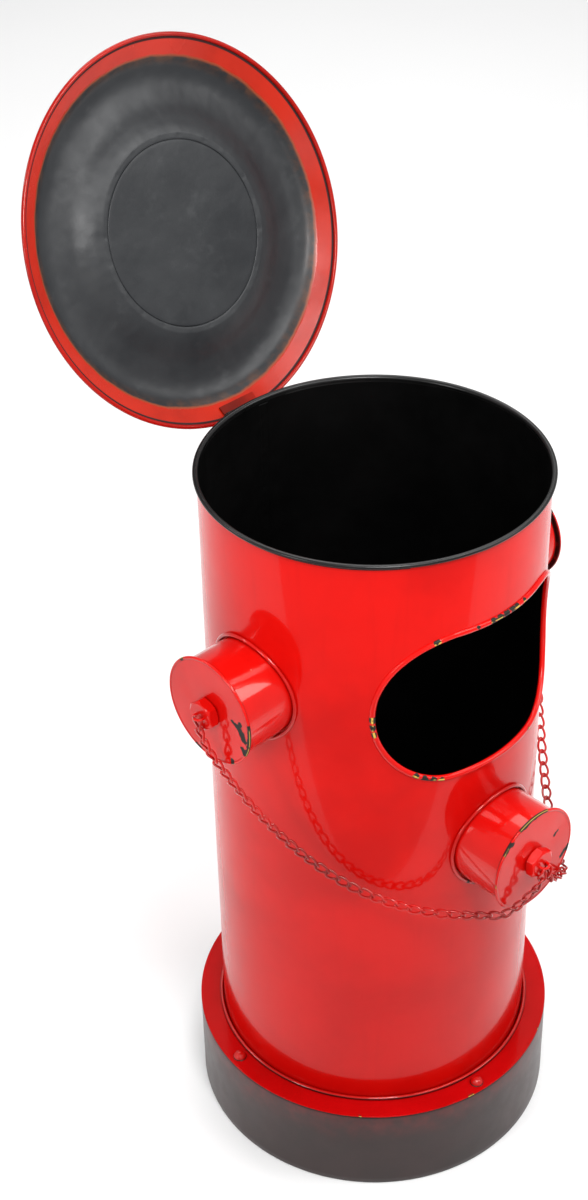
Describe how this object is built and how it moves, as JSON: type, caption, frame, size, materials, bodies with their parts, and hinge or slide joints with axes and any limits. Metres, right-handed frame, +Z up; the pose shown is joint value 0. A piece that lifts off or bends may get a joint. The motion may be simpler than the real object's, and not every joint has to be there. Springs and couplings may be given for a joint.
{
  "type": "hydrant-shaped ashtray bin",
  "caption": "Floor-standing litter bin shaped like a fire hydrant, with a side mouth, capped outlets joined by chains, and a hinged lid whose sunken middle is an ashtray.",
  "frame": {"origin": "centre of the underside of the bottom plate, on the surface that the bin stands on", "axes": "+Z up; -Y is the front, where the litter mouth and the low outlet are; the lid's hinge is at +Y; -X and +X are the high side outlets"},
  "size_m": [0.3896, 0.4628, 0.9193],
  "materials": {
    "red_enamel": "glossy red enamel, worn to dark undercoat and ochre at edges",
    "black_enamel": "satin black enamel",
    "plinth_enamel": "semi-gloss brown-black enamel with faint red overspray",
    "charcoal_enamel": "satin charcoal paint on hand-beaten sheet",
    "chain_enamel": "red enamel on twisted-link chain",
    "hinge_steel": "dark paint over steel with red specks"
  },
  "bodies": {
    "bin_body": {"bottom_plate": "black_enamel", "plinth_skirt": "plinth_enamel", "base_flange": "red_enamel", "foot_bead": "red_enamel", "flange_stud_1": "red_enamel", "flange_stud_2": "red_enamel", "flange_stud_3": "red_enamel", "flange_stud_4": "red_enamel", "body_tube": "red_enamel", "rim_bead": "black_enamel", "mouth_bead": "red_enamel", "front_outlet_collar": "red_enamel", "front_outlet_stub": "red_enamel", "front_outlet_cap": "red_enamel", "front_outlet_nut": "red_enamel", "front_outlet_staple": "red_enamel", "left_outlet_collar": "red_enamel", "left_outlet_stub": "red_enamel", "left_outlet_cap": "red_enamel", "left_outlet_nut": "red_enamel", "left_outlet_staple": "red_enamel", "right_outlet_collar": "red_enamel", "right_outlet_stub": "red_enamel", "right_outlet_cap": "red_enamel", "right_outlet_nut": "red_enamel", "right_outlet_staple": "red_enamel", "chain_left": "chain_enamel", "chain_right": "chain_enamel", "hinge_leaf_body": "hinge_steel", "hinge_pin": "hinge_steel", "hinge_rivet_left": "hinge_steel", "hinge_rivet_right": "hinge_steel"},
    "lid": {"lid_shell": "red_enamel", "lid_rim_bead": "red_enamel", "ashtray_plate": "charcoal_enamel", "hinge_leaf_lid": "hinge_steel"}
  },
  "joints": [
    {"name": "lid_hinge", "type": "hinge", "parent": "bin_body", "child": "lid", "pos_m": [0, 0.1477, 0.6394], "axis": [1, 0, 0], "range_deg": [0, 111.8]}
  ]
}
